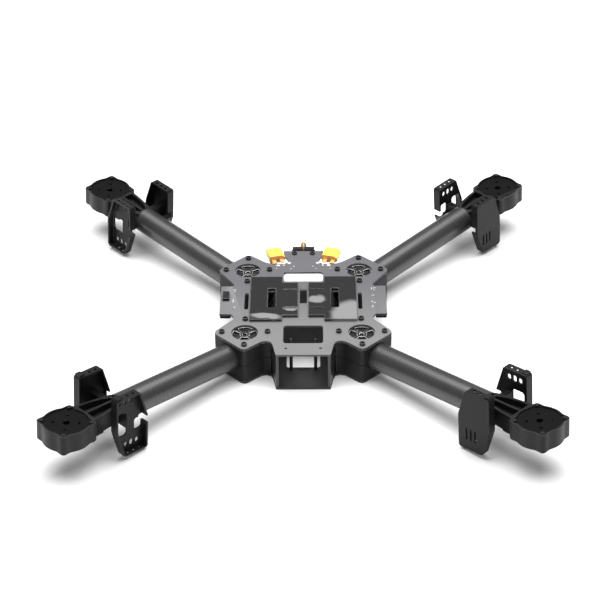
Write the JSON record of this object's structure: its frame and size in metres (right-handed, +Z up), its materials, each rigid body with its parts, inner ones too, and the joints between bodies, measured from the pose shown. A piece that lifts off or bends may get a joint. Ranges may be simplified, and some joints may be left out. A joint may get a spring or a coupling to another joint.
{
  "type": "multirotor airframe",
  "caption": "Bare multirotor airframe: two flat decks clamp upswept carbon tubes in an X, each ending in a motor base between two side shells.",
  "frame": {"origin": "centre of the craft in plan, on the underside of the lower deck", "axes": "+X to the right side, +Y to the rear (the nose points to -Y), +Z up"},
  "size_m": [0.4658, 0.4658, 0.0679],
  "materials": {
    "deck_laminate": "satin grey fibre laminate with cut edges",
    "carbon_tube": "clear-coated woven carbon tube",
    "black_moulding": "black satin nylon moulding",
    "screw_steel": "black-oxide steel",
    "pad_film": "dark glossy film over a thin pad",
    "connector_yellow": "yellow nylon power connector",
    "jack_gold": "gold-plated brass"
  },
  "bodies": {
    "root": {"antenna_bracket": "black_moulding", "antenna_jack": "jack_gold", "arm_tube_front_left": "carbon_tube", "arm_tube_front_right": "carbon_tube", "arm_tube_rear_left": "carbon_tube", "arm_tube_rear_right": "carbon_tube", "battery_pad_left": "pad_film", "battery_pad_right": "pad_film", "bottom_plate": "deck_laminate", "clamp_screw_front_left_end": "screw_steel", "clamp_screw_front_left_inner": "screw_steel", "clamp_screw_front_left_mid": "screw_steel", "clamp_screw_front_left_outer": "screw_steel", "clamp_screw_front_right_end": "screw_steel", "clamp_screw_front_right_inner": "screw_steel", "clamp_screw_front_right_mid": "screw_steel", "clamp_screw_front_right_outer": "screw_steel", "clamp_screw_rear_left_end": "screw_steel", "clamp_screw_rear_left_inner": "screw_steel", "clamp_screw_rear_left_mid": "screw_steel", "clamp_screw_rear_left_outer": "screw_steel", "clamp_screw_rear_right_end": "screw_steel", "clamp_screw_rear_right_inner": "screw_steel", "clamp_screw_rear_right_mid": "screw_steel", "clamp_screw_rear_right_outer": "screw_steel", "front_post_left": "screw_steel", "front_post_right": "screw_steel", "lower_clamp_front_left": "black_moulding", "lower_clamp_front_right": "black_moulding", "lower_clamp_rear_left": "black_moulding", "lower_clamp_rear_right": "black_moulding", "motor_base_front_left": "black_moulding", "motor_base_front_right": "black_moulding", "motor_base_rear_left": "black_moulding", "motor_base_rear_right": "black_moulding", "power_connector_left": "connector_yellow", "power_connector_right": "connector_yellow", "rear_screw_left": "screw_steel", "rear_screw_right": "screw_steel", "side_cheek_left": "deck_laminate", "side_cheek_right": "deck_laminate", "side_rail_left": "black_moulding", "side_rail_right": "black_moulding", "signal_plug": "black_moulding", "solid_shell_front_left": "black_moulding", "solid_shell_front_right": "black_moulding", "solid_shell_rear_left": "black_moulding", "solid_shell_rear_right": "black_moulding", "top_plate": "deck_laminate", "upper_clamp_front_left": "black_moulding", "upper_clamp_front_right": "black_moulding", "upper_clamp_rear_left": "black_moulding", "upper_clamp_rear_right": "black_moulding", "vented_shell_front_left": "black_moulding", "vented_shell_front_right": "black_moulding", "vented_shell_rear_left": "black_moulding", "vented_shell_rear_right": "black_moulding"}
  },
  "joints": []
}
